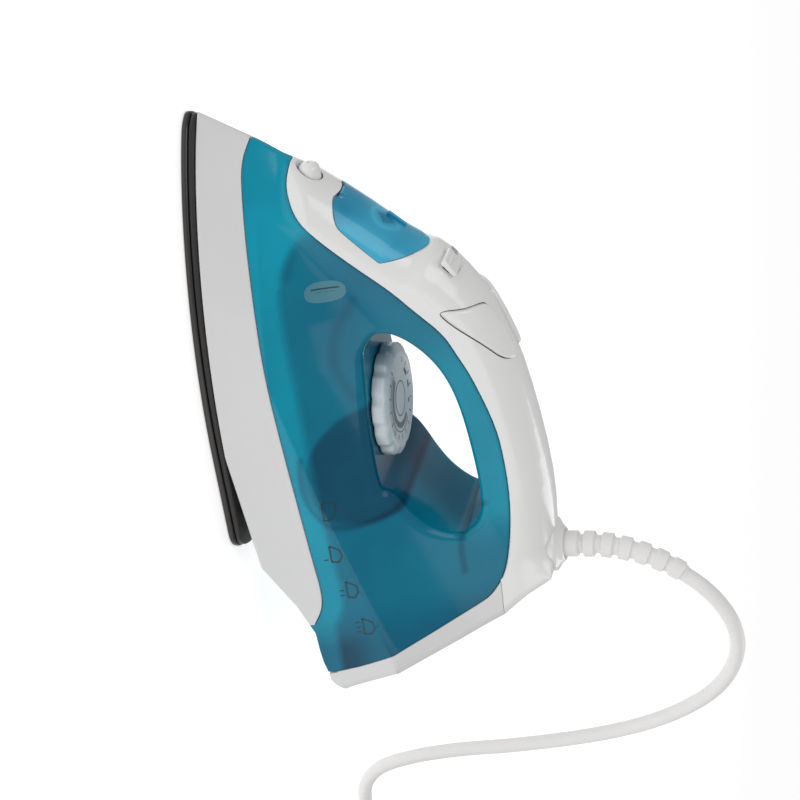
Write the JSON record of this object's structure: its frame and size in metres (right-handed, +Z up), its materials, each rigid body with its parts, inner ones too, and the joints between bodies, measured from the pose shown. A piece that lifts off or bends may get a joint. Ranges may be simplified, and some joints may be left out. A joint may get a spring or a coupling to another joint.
{
  "type": "clothes iron",
  "caption": "Steam iron with a pointed sole, clear water tank, looped handle, dial, thumb buttons, fill door, steam selector and a coiled mains cord.",
  "frame": {"origin": "on the flat underside of the soleplate, on its centre line, 100 mm behind the tip of the sole", "axes": "+X towards the nose, +Y to the iron's left, +Z up; the iron stands on its sole at Z = 0"},
  "size_m": [0.5187, 0.1257, 0.2147],
  "materials": {
    "sole_metal": "satin sheet steel",
    "black_seal": "black silicone",
    "cast_aluminium": "as cast",
    "element_steel": "heat-darkened tube",
    "steel": "zinc plated",
    "brass": "plain",
    "ceramic": "glazed",
    "grey_plastic": "moulded",
    "skirt_plastic": "glossy moulded, cool white",
    "tank_base_plastic": "moulded",
    "tank_plastic": "clear teal blue, polished",
    "silicone": "soft",
    "white_plastic": "glossy moulded white",
    "door_plastic": "clear sky blue, polished",
    "tube_plastic": "silicone tube",
    "dial_plastic": "satin light grey",
    "wire_skin": "insulation",
    "cord_plastic": "soft white jacket",
    "tie_black": "soft strap"
  },
  "bodies": {
    "iron": {"soleplate": "sole_metal", "sole_seal": "black_seal", "steam_chamber": "cast_aluminium", "heating_element": "element_steel", "element_terminals": "brass", "chamber_cover": "cast_aluminium", "chamber_screws": "steel", "thermostat": "ceramic", "thermostat_bracket": "steel", "thermal_fuse": "ceramic", "heat_shield": "grey_plastic", "skirt": "skirt_plastic", "tank_base": "tank_base_plastic", "tank_screws": "steel", "water_tank": "tank_plastic", "tail_housing": "tank_plastic", "drip_seal": "silicone", "handle_liner": "tank_plastic", "handle_shell": "white_plastic", "rear_cover": "skirt_plastic", "rear_screws": "steel", "fill_funnel": "white_plastic", "fill_door_pin": "steel", "spray_nozzle": "white_plastic", "nozzle_tip": "brass", "spray_tube": "tube_plastic", "steam_tube": "tube_plastic", "spray_pump": "white_plastic", "spray_spring": "steel", "steam_pump": "white_plastic", "steam_spring": "steel", "terminal_block": "grey_plastic", "inner_wires": "wire_skin", "cord_bushing": "white_plastic", "strain_relief": "cord_plastic", "cord": "cord_plastic", "cord_coil": "cord_plastic", "coil_tie": "tie_black", "plug_body": "cord_plastic", "plug_pins": "brass"},
    "dial": {"temperature_dial": "dial_plastic", "dial_shaft": "steel"},
    "door": {"fill_door": "door_plastic"},
    "selector": {"steam_selector": "white_plastic"},
    "valve": {"valve_rod": "steel"},
    "spray_trigger": {"spray_button": "white_plastic"},
    "steam_trigger": {"steam_button": "white_plastic"}
  },
  "joints": [
    {"name": "dial_turn", "type": "hinge", "parent": "iron", "child": "dial", "pos_m": [-0.042, 0, 0.067], "axis": [0, 0, 1], "range_deg": [0, 270]},
    {"name": "door_swing", "type": "hinge", "parent": "iron", "child": "door", "pos_m": [0.0602, 0, 0.0632], "axis": [0, 1, 0], "range_deg": [0, 75]},
    {"name": "selector_slide", "type": "slide", "parent": "iron", "child": "selector", "axis": [0, -1, 0], "range_m": [0, 0.011]},
    {"name": "valve_lift", "type": "slide", "parent": "iron", "child": "valve", "axis": [0, 0, 1], "range_m": [0, 0.00275]},
    {"name": "spray_press", "type": "slide", "parent": "iron", "child": "spray_trigger", "axis": [0, -0.4226, -0.9063], "range_m": [0, 0.003], "stiffness_N_per_m": 500, "springref_m": -0.002, "deforming": ["spray_spring"]},
    {"name": "steam_press", "type": "slide", "parent": "iron", "child": "steam_trigger", "axis": [0, 0.4226, -0.9063], "range_m": [0, 0.003], "stiffness_N_per_m": 500, "springref_m": -0.002, "deforming": ["steam_spring"]}
  ],
  "couplings": [
    {"joint": "valve_lift", "follows": "selector_slide", "ratio": 0.25}
  ]
}
